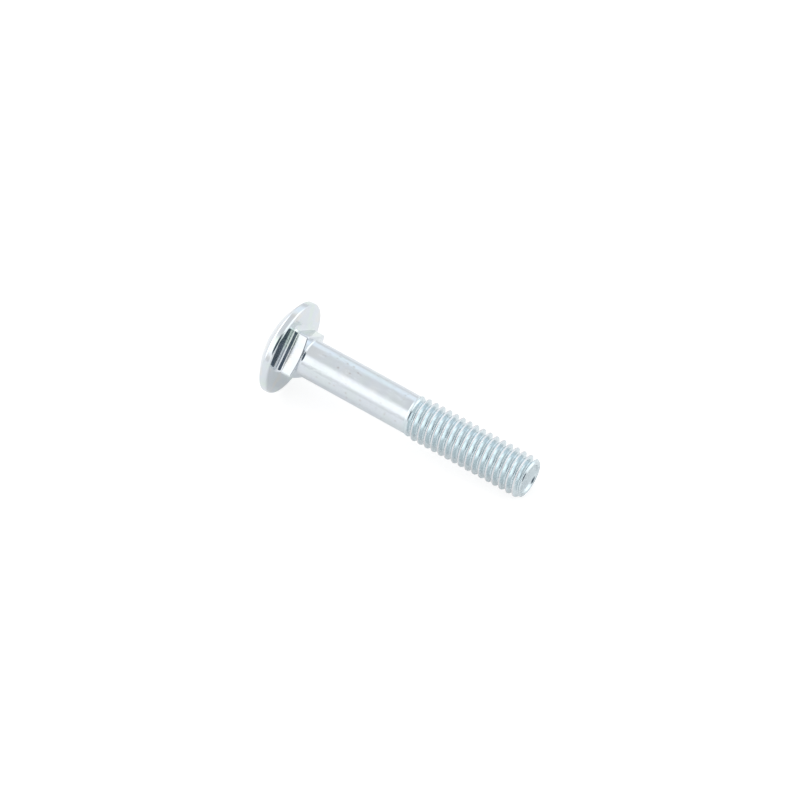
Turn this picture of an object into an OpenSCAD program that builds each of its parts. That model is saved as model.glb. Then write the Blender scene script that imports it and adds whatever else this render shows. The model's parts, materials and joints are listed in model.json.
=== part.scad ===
// Carriage bolt: a domed round head, a square neck, a plain shank and a rolled right-hand thread,
// all one forged piece. It lies as it comes to rest, on the rim of its head and on the last whole
// crest of its thread. Millimetres, +Z up, with the shank along +X and the thread at the +X end.

/* [Head] */
// Diameter of the head
head_d = 17.85; // [14:0.05:24]
// Height of the head, from its bearing face to the top of the dome
head_h = 4.3; // [3:0.05:7]
// Radius of the rim's two rounded edges
rim_r = 0.5; // [0.3:0.05:0.8]
// Height of the rim's straight wall, between its edges
rim_wall = 0.6; // [0.1:0.05:1.2]

/* [Square neck] */
// Width of the neck across its flats
neck_w = 8.15; // [7.4:0.05:10]
// Depth of the neck's corners below the bearing face
neck_depth = 2.85; // [1:0.05:8]
// Radius along the four corners
neck_corner_r = 0.4; // [0.1:0.05:1]
// Slope of the neck's end, in degrees from square to the axis
neck_end_slope = 12; // [4:1:30]
// Radius of the fillet where the neck's end runs into the shank
neck_fillet_r = 0.5; // [0.2:0.05:1.2]
// Radius of the fillet around the neck's root, where it meets the bearing face
neck_root_r = 0.95; // [0.2:0.05:1.2]

/* [Shank] */
// Length from the bearing face to the end
length = 49.6; // [36:0.1:90]
// Diameter of the plain shank, close to the thread's pitch diameter
shank_d = 7.2; // [6.6:0.05:7.7]

/* [Thread] */
// Major diameter
thread_d = 7.94; // [7.75:0.01:8.8]
// Distance from one crest to the next
pitch = 1.411; // [0.8:0.001:1.7]
// Length from where the thread starts to form to the end
thread_l = 24.9; // [10:0.1:32]
// Length over which the thread grows to its full depth
runout_l = 2.2; // [0.5:0.1:5]

/* [End] */
// Length of the chamfer at the end
end_chamfer = 0.75; // [0.3:0.05:1.6]
// Diameter of the end face
end_d = 6.95; // [6.5:0.05:7.4]
// Diameter of the dish that rolling leaves in the end face
dish_d = 5.7; // [3:0.05:6]
// Diameter of the dish at the foot of its steep wall
dish_foot_d = 5.2; // [2:0.05:5.8]
// Depth of the dish's steep wall
dish_wall = 0.45; // [0.1:0.05:1.5]
// Depth of the dish in its middle
dish_depth = 0.9; // [0.2:0.05:2.5]

/* [Rest] */
// Turn of the bolt about its axis as it lies, from a flat of its neck straight down, in degrees
lay_turn = 49; // [-180:0.5:180]

/* [Hidden] */
$fn = 96;

// Overlap of forms that run into each other
lap = 0.5;

// Head: the rim is a short wall with two rounded edges, and the dome is a ball's cap that runs into it.
// The rounded edges have their centres at rim_c from the axis, the upper one rim_h behind the bearing face.
rim_c = head_d / 2 - rim_r;
rim_h = rim_r + rim_wall;
dome_c = (rim_c ^ 2 + rim_h ^ 2 - (head_h - rim_r) ^ 2) / (2 * (head_h - rim_r - rim_h));
dome_r = dome_c + head_h;
dome_reach = (dome_r + lap) / (dome_r - rim_r) * [rim_c, -dome_c - rim_h] + [0, dome_c];

// Neck: its end is a flat cone that starts at the corners, with a fillet down to the shank
shank_r = shank_d / 2;
neck_inner_w = neck_w - 2 * neck_corner_r;
neck_corner_x = neck_inner_w / 2 * sqrt(2) + neck_corner_r;
function neck_end_z(r) = neck_depth + (neck_corner_x - r) * tan(neck_end_slope);
fillet_x = shank_r + neck_fillet_r;
fillet_z = neck_end_z(fillet_x) + neck_fillet_r / cos(neck_end_slope);
fillet_start = [fillet_x, fillet_z] - neck_fillet_r * [sin(neck_end_slope), cos(neck_end_slope)];

// Thread: a 60 degree profile with a flat crest of an eighth of the pitch and a depth of 17/24 of
// the sharp triangle's height. The list gives its four corners past the start of a crest.
thread_r = thread_d / 2;
thread_depth = 17 / 24 * pitch * sqrt(3) / 2;
crest_w = pitch / 8;
flank_w = thread_depth * tan(30);
corners = [0, crest_w, crest_w + flank_w, pitch - flank_w];
thread_z = length - thread_l;

// The last whole crest on the floor side ends where the chamfer starts. The floor side is turned back
// from the neck's flat by the turn of the lying bolt, and crest_z is the crest's start at the flat.
rest_z = length - end_chamfer;
crest_z = rest_z - crest_w + pitch * lay_turn / 360;

// Lean of the axis: the line from the rim to the last whole crest lies on the floor
lean_rise = rim_c - thread_r;
lean_run = rest_z + rim_r;
lean = acos(-rim_r / norm([lean_rise, lean_run])) - atan2(lean_run, lean_rise);
axis_h = rim_c * cos(lean) - rim_r * sin(lean) + rim_r;
min_x = dome_c * cos(lean) - dome_r;
max_x = length * cos(lean) + end_d / 2 * sin(lean);

// A share of the way from a to b, and a smooth step from 0 to 1
function mix(a, b, share) = a + (b - a) * share;
function smooth(x) = let (k = min(max(x, 0), 1)) k * k * (3 - 2 * k);

// Radius of the full thread at a distance past the start of a crest
function profile_r(past) =
    past < corners[1] ? thread_r
    : past < corners[2] ? mix(thread_r, thread_r - thread_depth, (past - corners[1]) / flank_w)
    : past < corners[3] ? thread_r - thread_depth
    : mix(thread_r - thread_depth, thread_r, (past - corners[3]) / flank_w);

// Radius at a height and an angle, growing out of the shank over the run-out
function helix_r(z, angle) =
    let (past = z - crest_z - pitch * angle / 360)
    let (turn_past = past - pitch * floor(past / pitch + rounding))
    mix(shank_r - rod_seat, profile_r(turn_past), smooth((z - thread_z) / runout_l));

// Threaded rod: columns around the axis, and rows that follow the profile's corners up the helix.
// It starts inside the shank, and runs past the end, where the chamfer cuts it off.
columns = 36;
rounding = 1e-6;
rod_seat = 0.03;
rod_low = thread_z - lap;
rod_high = length + lap;
turns_below = ceil((crest_z - rod_low) / pitch) + 1;
turns_above = ceil((rod_high - crest_z) / pitch) + 1;
corner_n = len(corners);
rows = corner_n * (turns_below + turns_above);
function row_z(row, column) =
    let (turn = floor(row / corner_n) - turns_below + column / columns)
    crest_z + pitch * turn + corners[row % corner_n];
first_row = [for (c = [0:columns - 1]) max([for (r = [0:rows]) if (row_z(r, c) <= rod_low) r])];
last_row = [for (c = [0:columns - 1]) min([for (r = [0:rows]) if (row_z(r, c) >= rod_high) r])];

// Number of a point by its row and column, where the last column is the first one a turn higher
function point(row, column) =
    column == columns ? point(row + corner_n, 0)
    : column * (rows + 1) + min(max(row, first_row[column]), last_row[column]);

module dome_head() {
    rotate_extrude() {
        intersection() {
            translate([0, dome_c]) circle(dome_r);
            polygon([
                [0, 0],
                [rim_c * dome_c / (dome_c + rim_h), 0],
                dome_reach,
                [dome_reach.x, -2 * head_h],
                [0, -2 * head_h],
            ]);
        }
        translate([rim_c, -rim_h]) circle(rim_r);
        translate([rim_c, -rim_r]) circle(rim_r);
        translate([0, -rim_h]) square([rim_c + rim_r, rim_wall]);
        translate([0, -rim_r]) square([rim_c, rim_r]);
    }
}

module square_neck() {
    intersection() {
        translate([0, 0, -lap])
            linear_extrude(fillet_z + 2 * lap) {
                square([neck_w, neck_inner_w], center = true);
                square([neck_inner_w, neck_w], center = true);
                for (x = [-1, 1], y = [-1, 1])
                    translate([x, y] * neck_inner_w / 2) circle(neck_corner_r);
            }
        rotate_extrude()
            difference() {
                polygon([
                    [0, -2 * lap],
                    [neck_w, -2 * lap],
                    [neck_w, neck_end_z(neck_w)],
                    fillet_start,
                    [shank_r, fillet_z],
                    [0, fillet_z],
                ]);
                translate([fillet_x, fillet_z]) circle(neck_fillet_r);
            }
    }
}

// Section of the root's fillet, let into the neck by its seat: the neck's face is at x = 0 and the
// bearing face at y = 0
module root_section(seat) {
    difference() {
        translate([-seat, -lap]) square([seat + neck_root_r, lap + neck_root_r]);
        translate([neck_root_r, neck_root_r]) circle(neck_root_r);
    }
}

// Fillet around the neck's root: a strip along each flat and a quarter ring at each corner
module neck_root() {
    for (side = [0:3])
        rotate([0, 0, 90 * side]) {
            translate([neck_w, neck_inner_w] / 2)
                rotate([90, 0, 0])
                    linear_extrude(neck_inner_w) root_section(lap);
            translate([neck_inner_w, neck_inner_w] / 2)
                rotate_extrude(angle = 90)
                    translate([neck_corner_r, 0]) root_section(neck_corner_r / 2);
        }
}

module plain_shank() {
    cylinder(r = shank_r, h = thread_z);
}

module threaded_rod() {
    sides = [
        for (c = [0:columns - 1], r = [0:rows])
            let (angle = 360 * c / columns)
            let (z = min(max(row_z(r, c), rod_low), rod_high))
            let (radius = helix_r(z, angle))
            [radius * cos(angle), radius * sin(angle), z]
    ];
    low_end = len(sides);
    high_end = low_end + 1;
    polyhedron(
        points = concat(sides, [[0, 0, rod_low], [0, 0, rod_high]]),
        faces = [
            for (c = [0:columns - 1]) each [
                [low_end, point(0, c), point(0, c + 1)],
                [high_end, point(rows, c + 1), point(rows, c)],
                for (r = [0:rows - 1]) each [
                    if (point(r, c) != point(r + 1, c))
                        [point(r, c), point(r + 1, c), point(r + 1, c + 1)],
                    if (point(r, c + 1) != point(r + 1, c + 1))
                        [point(r, c), point(r + 1, c + 1), point(r, c + 1)],
                ],
            ],
        ]
    );
}

// Dish in the end face: a steep wall around a shallow ball's cap
module end_dish() {
    cup_h = dish_depth - dish_wall;
    cup_r = ((dish_foot_d / 2) ^ 2 + cup_h ^ 2) / (2 * cup_h);
    foot_z = length - dish_wall;
    wall_run = (dish_d - dish_foot_d) / 2 / dish_wall;
    rotate_extrude() {
        intersection() {
            translate([0, length - dish_depth + cup_r]) circle(cup_r);
            translate([0, foot_z - dish_depth]) square([dish_foot_d / 2, dish_depth]);
        }
        polygon([
            [0, foot_z],
            [dish_foot_d / 2, foot_z],
            [dish_d / 2 + lap * wall_run, length + lap],
            [0, length + lap],
        ]);
    }
}

module threaded_end() {
    outer_r = thread_r + lap;
    chamfer_run = end_chamfer / (thread_r - end_d / 2);
    difference() {
        intersection() {
            threaded_rod();
            rotate_extrude()
                polygon([
                    [0, rod_low - lap],
                    [outer_r, rod_low - lap],
                    [outer_r, length - (outer_r - end_d / 2) * chamfer_run],
                    [end_d / 2, length],
                    [0, length],
                ]);
        }
        end_dish();
    }
}

module bolt() {
    color([0.80, 0.84, 0.87])
        translate([-(min_x + max_x) / 2, 0, axis_h])
            rotate([0, 90 + lean, 0])
                rotate([0, 0, lay_turn]) {
                    dome_head();
                    square_neck();
                    neck_root();
                    plain_shank();
                    threaded_end();
                }
}

bolt();
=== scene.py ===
"""A zinc-plated carriage bolt, lying on a white studio floor.

The bolt is one closed mesh, modelled along its own axis in millimetres and then laid in the frame:
the thread is a profile spun up a helix, and the shank, neck, head and end are drawn out of its rims.
"""

import json
import math

import bmesh
import bpy
from mathutils import Matrix, Vector


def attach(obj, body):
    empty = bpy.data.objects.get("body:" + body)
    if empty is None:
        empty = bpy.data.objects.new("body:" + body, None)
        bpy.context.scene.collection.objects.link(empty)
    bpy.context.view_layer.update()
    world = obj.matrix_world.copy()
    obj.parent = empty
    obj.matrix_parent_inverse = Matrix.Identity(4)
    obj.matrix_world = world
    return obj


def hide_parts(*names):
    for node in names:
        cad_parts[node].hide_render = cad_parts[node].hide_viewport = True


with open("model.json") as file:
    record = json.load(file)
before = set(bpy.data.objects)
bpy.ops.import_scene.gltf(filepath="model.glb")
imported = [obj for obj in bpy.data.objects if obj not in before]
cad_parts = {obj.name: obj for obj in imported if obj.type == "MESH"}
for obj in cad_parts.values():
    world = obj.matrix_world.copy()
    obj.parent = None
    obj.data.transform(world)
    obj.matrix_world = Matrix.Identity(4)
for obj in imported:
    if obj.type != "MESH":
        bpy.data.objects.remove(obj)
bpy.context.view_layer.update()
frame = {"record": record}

# Sizes of the bolt in millimetres, with heights along the axis from the bearing face to the thread's end

HEAD_R = 8.925
HEAD_H = 4.3
RIM_R = 0.5
RIM_WALL = 0.6
NECK_W = 8.15
NECK_DEPTH = 2.85
NECK_CORNER_R = 0.4
NECK_END_SLOPE = math.radians(12)
NECK_FILLET_R = 0.5
NECK_ROOT_R = 0.95
NECK_EDGE_R = 0.14
LENGTH = 49.6
SHANK_R = 3.6
THREAD_R = 3.97
PITCH = 1.411
THREAD_L = 24.9
END_CHAMFER = 0.75
END_R = 3.475
DISH_R = 2.85
DISH_WALL = 0.45
DISH_FOOT_R = 2.6
DISH_DEPTH = 0.9
DISH_EDGE_R = 0.25
LAY_TURN = math.radians(49)
MM = 0.001

# Where the round at the dish's foot starts and ends, as shares of the wall's slope and of the cup's arc
DISH_ROUND_START = 0.55
DISH_ROUND_END = 0.8

# Mesh density: columns around the axis, those on half a corner of the neck, steps along arcs and faces,
# and the way from the thread's start to the shank's first ring
COLUMNS = 144
CORNER_COLUMNS = 6
ARC_STEPS = 8
RIM_STEPS = 12
DOME_STEPS = 26
FACE_STEPS = 4
FIRST_RING_GAP = 1


def bolt_place():
    """The matrix from the bolt's own millimetres to the frame's metres, from the frame's mounts."""
    mounts = {m["name"]: m for m in frame["record"]["mounts"]}
    axis = Vector(mounts["thread"]["axis"]).normalized()
    on_axis = Vector(mounts["thread"]["pos_m"])
    on_face = Vector(mounts["bearing_face"]["pos_m"])
    seat = on_axis + axis * axis.dot(on_face - on_axis)
    side = Vector((0, 1, 0))
    turn = Matrix((side.cross(axis), side, axis)).transposed().to_4x4()
    return Matrix.Translation(seat) @ turn @ Matrix.Rotation(LAY_TURN, 4, "Z") @ Matrix.Scale(MM, 4)


PLACE = bolt_place()


def smooth_step(x):
    k = min(max(x, 0.0), 1.0)
    return k * k * (3 - 2 * k)


# Thread: a share of the sharp triangle's height deep, with its widths as shares of the pitch

DEPTH_SHARE = 17 / 24
THREAD_DEPTH = DEPTH_SHARE * PITCH * math.sqrt(3) / 2
ROOT_R = THREAD_R - THREAD_DEPTH
CREST_SHARE = 1 / 8
FLANK_LEAN = math.radians(30)
FLANK_SHARE = THREAD_DEPTH * math.tan(FLANK_LEAN) / PITCH
CREST_ROUND = 0.05
ROOT_ROUND = 0.14
ROUND_SAMPLES = 9
THREAD_Z = LENGTH - THREAD_L
REST_Z = LENGTH - END_CHAMFER
CREST_Z = REST_Z - CREST_SHARE * PITCH + PITCH * LAY_TURN / math.tau

# Rows of the thread's mesh in column steps, so that each row meets a level plane at a column
ROW_STEP = 9
CORNER_ROWS = (-5, -2, 2, 5)
LEVEL = PITCH / COLUMNS
MERGE_DISTANCE = LEVEL / 10

# Run-out: the first crest stands at half height, then at full height, and the grooves deepen.
# Each has its start along the axis and its length.
CREST_START = (24.75, 0.6)
CREST_FULL = (26.1, 0.9)
GROOVE_START = (25.2, 1.2)


def sharp_profile_r(share):
    """Radius of the thread with sharp corners, at a share of the pitch past the start of a crest."""
    share = share % 1.0
    if share < CREST_SHARE:
        return THREAD_R
    if share < CREST_SHARE + FLANK_SHARE:
        return THREAD_R - THREAD_DEPTH * (share - CREST_SHARE) / FLANK_SHARE
    if share < 1 - FLANK_SHARE:
        return ROOT_R
    return ROOT_R + THREAD_DEPTH * (share - 1 + FLANK_SHARE) / FLANK_SHARE


def profile_r(share):
    """Radius of the thread with its corners rounded, by averaging a short way along the axis."""
    on_crest = sharp_profile_r(share) > (THREAD_R + ROOT_R) / 2
    reach = (CREST_ROUND if on_crest else ROOT_ROUND) / PITCH
    steps = [2 * i / (ROUND_SAMPLES - 1) - 1 for i in range(ROUND_SAMPLES)]
    return sum(sharp_profile_r(share + reach * s) for s in steps) / ROUND_SAMPLES


def thread_r(z, angle):
    """Radius of the rolled thread at a height and an angle, with its run-out and the end's chamfer."""
    full = profile_r((z - CREST_Z) / PITCH - angle / math.tau)
    if full > SHANK_R:
        start = smooth_step((z - CREST_START[0]) / CREST_START[1])
        rest = smooth_step((z - CREST_FULL[0]) / CREST_FULL[1])
        grown = (start + rest) / 2
    else:
        grown = smooth_step((z - GROOVE_START[0]) / GROOVE_START[1])
    radius = SHANK_R + (full - SHANK_R) * grown
    chamfer_r = END_R + (LENGTH - z) * (THREAD_R - END_R) / END_CHAMFER
    return min(radius, chamfer_r)


def thread_rows():
    """The rows of one pitch, in column steps past a crest's start: even ones, and ones beside corners."""
    corners = (0, CREST_SHARE, CREST_SHARE + FLANK_SHARE, 1 - FLANK_SHARE)
    rows = set(range(0, COLUMNS, ROW_STEP))
    for corner in corners:
        rows |= {(round(corner * COLUMNS) + d) % COLUMNS for d in CORNER_ROWS}
    return sorted(rows) + [COLUMNS]


def column_of(co):
    return round(math.atan2(co.y, co.x) / math.tau * COLUMNS) % COLUMNS


def column_angle(column):
    return column / COLUMNS * math.tau


def level_near(z, first):
    """The height nearest to z at which the thread's rows meet its columns."""
    return first + round((z - first) / LEVEL) * LEVEL


def spin_thread(bm):
    """A profile of one pitch is spun through one turn of the helix, and copied up turn by turn."""
    first = CREST_Z - PITCH * math.ceil((CREST_Z - THREAD_Z) / PITCH + 1)
    turns = math.ceil((LENGTH - first) / PITCH)
    line = [bm.verts.new((SHANK_R, 0, first + row * LEVEL)) for row in thread_rows()]
    edges = [bm.edges.new(pair) for pair in zip(line, line[1:])]
    bmesh.ops.spin(
        bm, geom=line + edges, cent=(0, 0, 0), axis=(0, 0, 1), dvec=(0, 0, LEVEL),
        angle=math.tau, steps=COLUMNS,
    )
    turn = bm.verts[:] + bm.edges[:] + bm.faces[:]
    for i in range(1, turns):
        copy = bmesh.ops.duplicate(bm, geom=turn)["geom"]
        verts = [v for v in copy if isinstance(v, bmesh.types.BMVert)]
        bmesh.ops.translate(bm, vec=(0, 0, i * PITCH), verts=verts)
    bmesh.ops.remove_doubles(bm, verts=bm.verts[:], dist=LEVEL / 2)
    for v in bm.verts:
        angle = column_angle(column_of(v.co))
        z = level_near(v.co.z, first)
        v.co = (SHANK_R * math.cos(angle), SHANK_R * math.sin(angle), z)
    return first


def trim_thread(bm, low, high):
    """Cuts the turns off square at both ends and gives each point its radius."""
    for z, up in ((low, False), (high, True)):
        everything = bm.verts[:] + bm.edges[:] + bm.faces[:]
        bmesh.ops.bisect_plane(
            bm, geom=everything, dist=MERGE_DISTANCE, plane_co=(0, 0, z), plane_no=(0, 0, 1),
            clear_inner=not up, clear_outer=up,
        )
    for v in bm.verts:
        angle = column_angle(column_of(v.co))
        radius = thread_r(v.co.z, angle)
        v.co.x = radius * math.cos(angle)
        v.co.y = radius * math.sin(angle)


# Rings: each gives the place of a column

def round_ring(radius, z):
    return lambda c: Vector((radius * math.cos(column_angle(c)), radius * math.sin(column_angle(c)), z))


def neck_outline(c, outset=0.0):
    """Point of the neck's rounded square, set out from its faces, with columns drawn to its corners."""
    quarter = COLUMNS // 4
    side = round(c / quarter)
    across = c - side * quarter
    flat_columns = quarter // 2 - CORNER_COLUMNS
    half = NECK_W / 2 - NECK_CORNER_R
    sign = math.copysign(1, across)
    bend = max(abs(across) - flat_columns, 0) / CORNER_COLUMNS * math.pi / 4
    along = half * min(abs(across) / flat_columns, 1)
    radius = NECK_CORNER_R + outset
    point = Vector((half + radius * math.cos(bend), sign * (along + radius * math.sin(bend)), 0))
    return Matrix.Rotation(side * math.pi / 2, 3, "Z") @ point


def neck_end_z(radius):
    corner_r = (NECK_W / 2 - NECK_CORNER_R) * math.sqrt(2) + NECK_CORNER_R
    return NECK_DEPTH + (corner_r - radius) * math.tan(NECK_END_SLOPE)


def neck_ring(outset, z):
    def place(c):
        point = neck_outline(c, outset)
        point.z = z
        return point
    return place


def neck_end_ring(inset, drop):
    """Ring round the neck's end, set in from the faces and dropped from the sloped end."""
    def place(c):
        point = neck_outline(c, -inset)
        point.z = neck_end_z(point.length) - drop
        return point
    return place


def between(ring_a, ring_b, share, height=None):
    """Ring a share of the way from one to another, at a height that may depend on the radius."""
    def place(c):
        point = ring_a(c).lerp(ring_b(c), share)
        if height:
            point.z = height(point.xy.length)
        return point
    return place


def arc_rings(centre, radius, start, end, steps):
    """Round rings along an arc in the plane of radius and height, without its first point."""
    angles = [start + (end - start) * i / steps for i in range(1, steps + 1)]
    return [round_ring(centre[0] + radius * math.cos(a), centre[1] + radius * math.sin(a)) for a in angles]


def shank_and_neck_rings():
    """Rings from the thread's start down the shank, over the neck's end and to the foot of its root."""
    fillet_x = SHANK_R + NECK_FILLET_R
    fillet_z = neck_end_z(fillet_x) + NECK_FILLET_R / math.cos(NECK_END_SLOPE)
    shank_z = (THREAD_Z - FIRST_RING_GAP, (THREAD_Z + fillet_z) / 2, fillet_z)
    rings = [round_ring(SHANK_R, z) for z in shank_z]
    fillet_end = 3 * math.pi / 2 - NECK_END_SLOPE
    rings += arc_rings((fillet_x, fillet_z), NECK_FILLET_R, math.pi, fillet_end, ARC_STEPS)
    foot = rings[-1]
    edge = neck_end_ring(NECK_EDGE_R, 0)
    rings += [between(foot, edge, i / FACE_STEPS, neck_end_z) for i in range(1, FACE_STEPS)]
    for i in range(ARC_STEPS + 1):
        bend = math.pi / 2 * i / ARC_STEPS
        rings.append(neck_end_ring(NECK_EDGE_R * (1 - math.sin(bend)), NECK_EDGE_R * (1 - math.cos(bend))))
    for i in range(2 * ARC_STEPS + 1):
        bend = math.pi / 4 * i / ARC_STEPS
        rings.append(neck_ring(NECK_ROOT_R * (1 - math.cos(bend)), NECK_ROOT_R * (1 - math.sin(bend))))
    return rings


def head_rings():
    """Rings from the neck's root over the bearing face and the rim to the top of the dome."""
    rim_c = HEAD_R - RIM_R
    rim_h = RIM_R + RIM_WALL
    dome_c = (rim_c**2 + rim_h**2 - (HEAD_H - RIM_R) ** 2) / (2 * (HEAD_H - RIM_R - rim_h))
    dome_r = dome_c + HEAD_H
    meet = -math.atan2(dome_c + rim_h, rim_c)
    root = neck_ring(NECK_ROOT_R, 0)
    edge = round_ring(rim_c, 0)
    rings = [between(root, edge, i / FACE_STEPS) for i in range(1, FACE_STEPS + 1)]
    rings += arc_rings((rim_c, -RIM_R), RIM_R, math.pi / 2, 0, RIM_STEPS)
    rings += [round_ring(HEAD_R, -rim_h)]
    rings += arc_rings((rim_c, -rim_h), RIM_R, 0, meet, RIM_STEPS)
    rings += arc_rings((0, dome_c), dome_r, meet, -math.pi / 2, DOME_STEPS)
    return rings


def end_rings():
    """Rings of the end face, from its lip into the dish that rolling leaves."""
    wall_turn = math.atan2(DISH_WALL, DISH_R - DISH_FOOT_R)
    lip = arc_rings(
        (DISH_R + DISH_EDGE_R * math.tan(wall_turn / 2), LENGTH - DISH_EDGE_R), DISH_EDGE_R,
        math.pi / 2, math.pi / 2 + wall_turn, ARC_STEPS // 2,
    )
    cup_h = DISH_DEPTH - DISH_WALL
    cup_r = (DISH_FOOT_R**2 + cup_h**2) / (2 * cup_h)
    cup_turn = math.asin(DISH_FOOT_R / cup_r)
    cup_c = (0, LENGTH - DISH_DEPTH + cup_r)
    foot_point = Vector((DISH_FOOT_R, LENGTH - DISH_WALL))
    wall_point = Vector((DISH_R, LENGTH)).lerp(foot_point, DISH_ROUND_START)
    cup_start = cup_turn * DISH_ROUND_END
    cup_point = Vector((cup_r * math.sin(cup_start), cup_c[1] - cup_r * math.cos(cup_start)))
    foot = []
    for i in range(ARC_STEPS + 1):
        share = i / ARC_STEPS
        bend = wall_point.lerp(foot_point, share).lerp(foot_point.lerp(cup_point, share), share)
        foot.append(round_ring(*bend))
    cup = arc_rings(cup_c, cup_r, cup_start - math.pi / 2, -math.pi / 2, ARC_STEPS)
    return [round_ring(DISH_R + 2 * DISH_EDGE_R, LENGTH)] + lip + foot + cup


def draw_out(bm, rim, rings):
    """Extrudes a rim of edges through rings, one after another, and closes it in a point."""
    for ring in rings:
        made = bmesh.ops.extrude_edge_only(bm, edges=rim)["geom"]
        rim = [e for e in made if isinstance(e, bmesh.types.BMEdge)]
        rim_verts = [v for v in made if isinstance(v, bmesh.types.BMVert)]
        for v in rim_verts:
            v.co = ring(v[bm.verts.layers.int["column"]])
    bmesh.ops.pointmerge(bm, verts=rim_verts, merge_co=rim_verts[0].co)


def bolt_mesh():
    bm = bmesh.new()
    first = spin_thread(bm)
    trim_thread(bm, level_near(THREAD_Z, first), level_near(LENGTH, first))
    columns = bm.verts.layers.int.new("column")
    for v in bm.verts:
        v[columns] = column_of(v.co)
    middle = (THREAD_Z + LENGTH) / 2
    open_edges = [e for e in bm.edges if e.is_boundary]
    low_rim = [e for e in open_edges if e.verts[0].co.z < middle]
    high_rim = [e for e in open_edges if e.verts[0].co.z > middle]
    draw_out(bm, low_rim, shank_and_neck_rings() + head_rings())
    draw_out(bm, high_rim, end_rings())
    bmesh.ops.remove_doubles(bm, verts=bm.verts[:], dist=MERGE_DISTANCE)
    bmesh.ops.recalc_face_normals(bm, faces=bm.faces[:])
    for face in bm.faces:
        face.smooth = True
    bm.verts.layers.int.remove(columns)
    bmesh.ops.transform(bm, matrix=PLACE, verts=bm.verts[:])
    mesh = bpy.data.meshes.new("carriage_bolt")
    bm.to_mesh(mesh)
    bm.free()
    return mesh


# Camera: the photograph's viewing angle, with its frame aimed at a point beside the axis

IMAGE_SIDE = 800
SENSOR_WIDTH = 36
CLIP_START = 0.01
CAMERA_ELEVATION = math.radians(46.705)
CAMERA_AZIMUTH = math.radians(32.807)
CAMERA_DISTANCE = 1.229
PIXELS_PER_METRE = 5680
AIM_HEIGHT = 21.77
AIM_PIXELS_OFF_AXIS = 6.94


def camera_axes():
    """The way to the camera, and the image's right and up, in the frame."""
    back = Vector((
        math.cos(CAMERA_ELEVATION) * math.sin(CAMERA_AZIMUTH),
        -math.cos(CAMERA_ELEVATION) * math.cos(CAMERA_AZIMUTH),
        math.sin(CAMERA_ELEVATION),
    ))
    right = Vector((math.cos(CAMERA_AZIMUTH), math.sin(CAMERA_AZIMUTH), 0))
    return back, right, back.cross(right)


def add_camera():
    back, right, up = camera_axes()
    axis = (PLACE.to_3x3() @ Vector((0, 0, 1))).normalized()
    across = back.cross(axis).normalized()
    aim = PLACE @ Vector((0, 0, AIM_HEIGHT)) + across * AIM_PIXELS_OFF_AXIS / PIXELS_PER_METRE
    data = bpy.data.cameras.new("camera")
    data.sensor_width = SENSOR_WIDTH
    data.lens = SENSOR_WIDTH * CAMERA_DISTANCE * PIXELS_PER_METRE / IMAGE_SIDE
    data.clip_start = CLIP_START
    camera = bpy.data.objects.new("camera", data)
    turn = Matrix((right, up, back)).transposed().to_4x4()
    camera.matrix_world = Matrix.Translation(aim + back * CAMERA_DISTANCE) @ turn
    bpy.context.scene.collection.objects.link(camera)
    bpy.context.scene.camera = camera


# Zinc plating: its colours

ZINC = (0.66, 0.702, 0.746, 1)
ZINC_GREEN = (0.65, 0.725, 0.695, 1)
ZINC_STRAW = (0.705, 0.712, 0.7, 1)
THREAD_BLUE = (0.645, 0.72, 0.75, 1)
CREST_GREY = (0.72, 0.72, 0.74, 1)
PIT_GREY = (0.545, 0.54, 0.545, 1)

# Tint: noise limits of the two film colours, and the heights where they fade from the head to the shank
TINT_SCALE = 0.22
GREEN_LIMITS = (0.46, 0.62)
STRAW_LIMITS = (0.46, 0.34)
TINT_FADE = (3.4, 2.2)
TINT_STRENGTH = (0.3, 1.0)

# Marks: noise stretched along the axis, the share of cells with a pit, and each scratch's lean and width
PIT_STRETCH = (1.9, 1.9, 1.1)
PIT_CHANCE = (0.25, 1.0)
PIT_SIZE = (0.0, 0.28)
PIT_EDGE = (-0.04, 0.1)
STREAK_STRETCH = (4.5, 4.5, 1.3)
SCRATCH_STRETCH = (1.1, 1.1, 0.09)
SCRATCHES = ((0.14, 0.012), (-0.4, 0.008))
SCRATCH_PATCH_SCALE = 0.5
SCRATCH_PATCH_LIMITS = (0.5, 0.62)
NOISE_MIDDLE = 0.5

# Masks: where the shank's marks set in past the neck, where the thread's finish does, and the crests' edge
SHANK_START = (NECK_DEPTH + 1, NECK_DEPTH + 3)
MASK_FADE = 1
CREST_EDGE = (THREAD_R - 0.08, THREAD_R - 0.02)

# Roughness: noise limits and values of the bare plating, and what each area adds
DULL_SCALE = 0.6
DULL_LIMITS = (0.3, 0.7)
DULL_RANGE = (0.11, 0.18)
SHANK_DULLER = 0.08
THREAD_DULLER = 0.11
CREST_DULLER = 0.14

# Relief: a slow unevenness and the marks, as shares of the bump's depth in metres
UNEVEN_SCALE = 0.9
UNEVEN_HEIGHT = 0.25
MARK_HEIGHTS = (("Pits", -0.25), ("Streaks", 0.7), ("Scratches", -0.5))
BUMP_STRENGTH = 0.5
BUMP_DEPTH = 0.00004


def add_node(tree, kind, inputs=(), **settings):
    """A node with its settings, whose inputs are plain values or outputs of other nodes."""
    node = tree.nodes.new(kind)
    for name, value in settings.items():
        setattr(node, name, value)
    for key, value in dict(inputs).items():
        if isinstance(value, bpy.types.NodeSocket):
            tree.links.new(value, node.inputs[key])
        else:
            node.inputs[key].default_value = value
    return node


def math_node(tree, operation, a, b=0.0):
    return add_node(tree, "ShaderNodeMath", {0: a, 1: b}, operation=operation).outputs[0]


def ramp_node(tree, value, low, high, to_low=0.0, to_high=1.0):
    """A smooth step of a value between two limits."""
    inputs = {"Value": value, "From Min": low, "From Max": high, "To Min": to_low, "To Max": to_high}
    return add_node(tree, "ShaderNodeMapRange", inputs, interpolation_type="SMOOTHSTEP").outputs["Result"]


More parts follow.
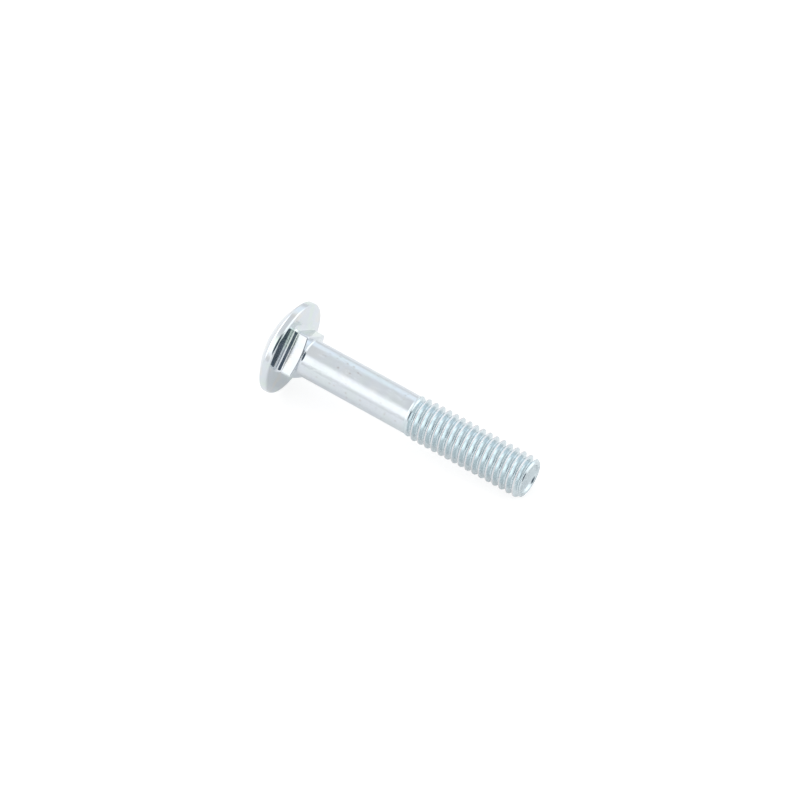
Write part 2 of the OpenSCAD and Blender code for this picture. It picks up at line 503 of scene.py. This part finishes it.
def mix_colours(tree, share, a, b):
    """A mix of two colours. Its sockets go by number, because several share a name."""
    return add_node(tree, "ShaderNodeMix", {0: share, 6: a, 7: b}, data_type="RGBA").outputs[2]


def noise_node(tree, place, scale, detail=2.0):
    inputs = {"Vector": place, "Scale": scale, "Detail": detail}
    return add_node(tree, "ShaderNodeTexNoise", inputs).outputs["Fac"]


def stretch_node(tree, place, scale, turn=(0, 0, 0)):
    inputs = {"Vector": place, "Scale": scale, "Rotation": turn}
    return add_node(tree, "ShaderNodeMapping", inputs).outputs["Vector"]


def new_group(name, outputs):
    """A node group that takes a place in the bolt's own millimetres."""
    group = bpy.data.node_groups.new(name, "ShaderNodeTree")
    group.interface.new_socket("Place", in_out="INPUT", socket_type="NodeSocketVector")
    for label, kind in outputs.items():
        group.interface.new_socket(label, in_out="OUTPUT", socket_type=kind)
    place = group.nodes.new("NodeGroupInput").outputs["Place"]
    return group, place, group.nodes.new("NodeGroupOutput")


def tint_group():
    """Colour of the clear passivation: zinc that drifts between a faint green and a faint straw."""
    group, place, out = new_group("passivation_tint", {"Color": "NodeSocketColor"})
    drift = noise_node(group, place, TINT_SCALE, 3)
    height = add_node(group, "ShaderNodeSeparateXYZ", {"Vector": place}).outputs["Z"]
    by_head = ramp_node(group, height, *TINT_FADE, *TINT_STRENGTH)
    green = math_node(group, "MULTIPLY", ramp_node(group, drift, *GREEN_LIMITS), by_head)
    straw = math_node(group, "MULTIPLY", ramp_node(group, drift, *STRAW_LIMITS), by_head)
    colour = mix_colours(group, green, ZINC, ZINC_GREEN)
    colour = mix_colours(group, straw, colour, ZINC_STRAW)
    group.links.new(colour, out.inputs["Color"])
    return group


def marks_group():
    """Masks of the plain shank, and of its small pits, drawn streaks and fine lengthwise scratches."""
    labels = ("Shank", "Pits", "Streaks", "Scratches")
    group, place, out = new_group("handling_marks", {label: "NodeSocketFloat" for label in labels})
    flecks = stretch_node(group, place, PIT_STRETCH)
    cells = add_node(group, "ShaderNodeTexVoronoi", {"Vector": flecks, "Scale": 1.0})
    chance = add_node(group, "ShaderNodeSeparateColor", {"Color": cells.outputs["Color"]})
    size = ramp_node(group, chance.outputs["Red"], *PIT_CHANCE, *PIT_SIZE)
    near = math_node(group, "SUBTRACT", size, cells.outputs["Distance"])
    height = add_node(group, "ShaderNodeSeparateXYZ", {"Vector": place}).outputs["Z"]
    past_neck = ramp_node(group, height, *SHANK_START)
    before_thread = ramp_node(group, height, THREAD_Z, THREAD_Z - MASK_FADE)
    on_shank = math_node(group, "MULTIPLY", past_neck, before_thread)
    group.links.new(on_shank, out.inputs["Shank"])
    pits = math_node(group, "MULTIPLY", ramp_node(group, near, *PIT_EDGE), on_shank)
    group.links.new(pits, out.inputs["Pits"])
    drawn = stretch_node(group, place, STREAK_STRETCH)
    streaks = math_node(group, "MULTIPLY", noise_node(group, drawn, 1.0, 2), on_shank)
    group.links.new(streaks, out.inputs["Streaks"])
    lines = None
    for lean, width in SCRATCHES:
        drawn = stretch_node(group, place, SCRATCH_STRETCH, (lean, lean / 2, 0))
        wave = math_node(group, "SUBTRACT", noise_node(group, drawn, 1.0, 1), NOISE_MIDDLE)
        line = ramp_node(group, math_node(group, "ABSOLUTE", wave), width, 0.0)
        lines = line if lines is None else math_node(group, "MAXIMUM", lines, line)
    patches = ramp_node(group, noise_node(group, place, SCRATCH_PATCH_SCALE), *SCRATCH_PATCH_LIMITS)
    patches = math_node(group, "MULTIPLY", patches, on_shank)
    group.links.new(math_node(group, "MULTIPLY", lines, patches), out.inputs["Scratches"])
    return group


def thread_group():
    """Masks of the thread, and of its crests, which the rolling leaves duller than its flanks."""
    group, place, out = new_group(
        "thread_masks", {"Thread": "NodeSocketFloat", "Crests": "NodeSocketFloat"}
    )
    parts = add_node(group, "ShaderNodeSeparateXYZ", {"Vector": place})
    squares = [math_node(group, "POWER", parts.outputs[k], 2) for k in ("X", "Y")]
    radius = math_node(group, "SQRT", math_node(group, "ADD", *squares))
    on_crest = ramp_node(group, radius, *CREST_EDGE)
    on_thread = ramp_node(group, parts.outputs["Z"], THREAD_Z, THREAD_Z + MASK_FADE)
    group.links.new(on_thread, out.inputs["Thread"])
    group.links.new(math_node(group, "MULTIPLY", on_crest, on_thread), out.inputs["Crests"])
    return group


def zinc_material():
    material = bpy.data.materials.new("zinc_plating")
    material.use_nodes = True
    tree = material.node_tree
    shader = tree.nodes["Principled BSDF"]
    to_own = PLACE.inverted()
    object_place = add_node(tree, "ShaderNodeTexCoord").outputs["Object"]
    place = add_node(tree, "ShaderNodeMapping", {
        "Vector": object_place, "Location": to_own.to_translation(),
        "Rotation": to_own.to_euler(), "Scale": to_own.to_scale(),
    }).outputs["Vector"]
    tint = add_node(tree, "ShaderNodeGroup", node_tree=tint_group())
    marks = add_node(tree, "ShaderNodeGroup", node_tree=marks_group())
    thread = add_node(tree, "ShaderNodeGroup", node_tree=thread_group())
    for group in (tint, marks, thread):
        tree.links.new(place, group.inputs["Place"])
    colour = mix_colours(tree, thread.outputs["Thread"], tint.outputs["Color"], THREAD_BLUE)
    colour = mix_colours(tree, thread.outputs["Crests"], colour, CREST_GREY)
    colour = mix_colours(tree, marks.outputs["Pits"], colour, PIT_GREY)
    tree.links.new(colour, shader.inputs["Base Color"])
    shader.inputs["Metallic"].default_value = 1
    dull = ramp_node(tree, noise_node(tree, place, DULL_SCALE, 4), *DULL_LIMITS, *DULL_RANGE)
    duller = (
        (marks.outputs["Shank"], SHANK_DULLER),
        (thread.outputs["Thread"], THREAD_DULLER),
        (thread.outputs["Crests"], CREST_DULLER),
    )
    for mask, more in duller:
        dull = math_node(tree, "ADD", dull, math_node(tree, "MULTIPLY", mask, more))
    tree.links.new(dull, shader.inputs["Roughness"])
    height = math_node(tree, "MULTIPLY", noise_node(tree, place, UNEVEN_SCALE, 3), UNEVEN_HEIGHT)
    for mark, raised in MARK_HEIGHTS:
        height = math_node(tree, "ADD", height, math_node(tree, "MULTIPLY", marks.outputs[mark], raised))
    relief = {"Height": height, "Strength": BUMP_STRENGTH, "Distance": BUMP_DEPTH}
    bump = add_node(tree, "ShaderNodeBump", relief)
    tree.links.new(bump.outputs["Normal"], shader.inputs["Normal"])
    return material


# Studio: a white room that is brighter towards both ends of the bolt, with the dark of the camera's opening

ROOM = (0.87, 0.875, 0.88)

# Long soft lights beside the bolt: side, rise, outer and inner half width in degrees, and glow
FRONT_LIGHT = (-1, 37, 32, 6, (0.62, 0.6, 0.58, 1))
BACK_LIGHT = (1, 33, 24, 6, (0.24, 0.3, 0.35, 1))

# Brighter walls: the cosines between which each sets in, and its glow
FACING_LIMITS = (0.0, 0.45)
HEAD_SIDE_LIMITS = (-0.35, -0.7)
HEAD_SIDE_GLOW = (1.15, 1.12, 1.1, 1)
OVERHEAD_RISE = 62
OVERHEAD_LIMITS = (0.8, 0.97)
OVERHEAD_GLOW = (0.9, 0.86, 0.84, 1)
END_SIDE_LIMITS = (0.15, 0.6)
END_SIDE_GLOW = (0.55, 0.55, 0.54, 1)

# Camera's dark: its colour, how far below the camera it lies, and its discs, with angles in degrees
CAMERA_DARK = (0.08, 0.11, 0.145, 1)
CAMERA_DARK_BELOW = 8
CAMERA_DARK_SIDES = (0, 20, 40)
CAMERA_DARK_EDGE = (28, 19)


def vector_node(tree, operation, inputs):
    return add_node(tree, "ShaderNodeVectorMath", inputs, operation=operation)


def dot_node(tree, sight, direction):
    return vector_node(tree, "DOT_PRODUCT", {0: sight, 1: direction}).outputs["Value"]


def added_light(tree, colour, share, glow):
    light = mix_colours(tree, share, (0, 0, 0, 1), glow)
    return vector_node(tree, "ADD", {0: colour, 1: light}).outputs["Vector"]


def cosine(degrees):
    return math.cos(math.radians(degrees))


def add_world():
    world = bpy.data.worlds.new("studio")
    bpy.context.scene.world = world
    world.use_nodes = True
    tree = world.node_tree
    sight = add_node(tree, "ShaderNodeTexCoord").outputs["Generated"]
    axis = (PLACE.to_3x3() @ Vector((0, 0, 1))).normalized()
    along = dot_node(tree, sight, axis)
    lengthwise = vector_node(tree, "SCALE", {0: axis, "Scale": along}).outputs["Vector"]
    across = vector_node(tree, "SUBTRACT", {0: sight, 1: lengthwise}).outputs["Vector"]
    across = vector_node(tree, "NORMALIZE", {0: across}).outputs["Vector"]

    back = camera_axes()[0]
    facing = (back - axis * axis.dot(back)).normalized()
    before = ramp_node(tree, dot_node(tree, sight, facing), *FACING_LIMITS)
    colour = added_light(tree, ROOM, ramp_node(tree, along, *END_SIDE_LIMITS), END_SIDE_GLOW)
    by_head = math_node(tree, "MULTIPLY", ramp_node(tree, along, *HEAD_SIDE_LIMITS), before)
    above = Vector((0, cosine(OVERHEAD_RISE), cosine(90 - OVERHEAD_RISE)))
    overhead = ramp_node(tree, dot_node(tree, across, above), *OVERHEAD_LIMITS)
    colour = added_light(tree, colour, by_head, HEAD_SIDE_GLOW)
    colour = added_light(tree, colour, math_node(tree, "MULTIPLY", by_head, overhead), OVERHEAD_GLOW)
    for side, rise, wide, narrow, glow in (FRONT_LIGHT, BACK_LIGHT):
        direction = Vector((0, side * cosine(rise), cosine(90 - rise)))
        share = ramp_node(tree, dot_node(tree, across, direction), cosine(wide), cosine(narrow))
        colour = added_light(tree, colour, share, glow)

    below = axis.cross(back).normalized()
    sideways = back.cross(below)
    lens = back * cosine(CAMERA_DARK_BELOW) + below * cosine(90 - CAMERA_DARK_BELOW)
    dark = None
    limits = [cosine(edge) for edge in CAMERA_DARK_EDGE]
    for turn in CAMERA_DARK_SIDES:
        middle = lens * cosine(turn) + sideways * cosine(90 - turn)
        disc = ramp_node(tree, dot_node(tree, sight, middle), *limits)
        dark = disc if dark is None else math_node(tree, "MAXIMUM", dark, disc)
    colour = mix_colours(tree, dark, colour, CAMERA_DARK)
    tree.links.new(colour, tree.nodes["Background"].inputs["Color"])


# Floor: its glow and its lit colour, as the camera sees them and as the metal mirrors them

FLOOR_REACH = 3
FLOOR_SEEN = (0.82, 0.26)
FLOOR_MIRRORED = (0.34, 0.63)


def add_floor():
    bm = bmesh.new()
    bmesh.ops.create_grid(bm, x_segments=1, y_segments=1, size=FLOOR_REACH)
    mesh = bpy.data.meshes.new("floor")
    bm.to_mesh(mesh)
    bm.free()
    floor = bpy.data.objects.new("floor", mesh)
    bpy.context.scene.collection.objects.link(floor)
    material = bpy.data.materials.new("floor_white")
    material.use_nodes = True
    tree = material.node_tree
    shader = tree.nodes["Principled BSDF"]
    shader.inputs["Roughness"].default_value = 1
    shader.inputs["Specular IOR Level"].default_value = 0
    rays = add_node(tree, "ShaderNodeLightPath").outputs
    shader.inputs["Emission Strength"].default_value = 1
    mirrored = math_node(tree, "MAXIMUM", rays["Is Glossy Ray"], rays["Is Transmission Ray"])
    for name, seen, reflected in zip(("Emission Color", "Base Color"), FLOOR_SEEN, FLOOR_MIRRORED):
        level = math_node(tree, "MULTIPLY", rays["Is Camera Ray"], seen)
        level = math_node(tree, "ADD", level, math_node(tree, "MULTIPLY", mirrored, reflected))
        grey = add_node(tree, "ShaderNodeCombineColor", {k: level for k in ("Red", "Green", "Blue")})
        tree.links.new(grey.outputs["Color"], shader.inputs[name])
    floor.data.materials.append(material)


def add_bolt():
    bolt = bpy.data.objects.new("carriage_bolt", bolt_mesh())
    bpy.context.scene.collection.objects.link(bolt)
    bolt.data.materials.append(zinc_material())
    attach(bolt, "root")
    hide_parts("bolt")


add_camera()
add_world()
add_floor()
add_bolt()
bpy.context.scene.view_settings.view_transform = "Standard"
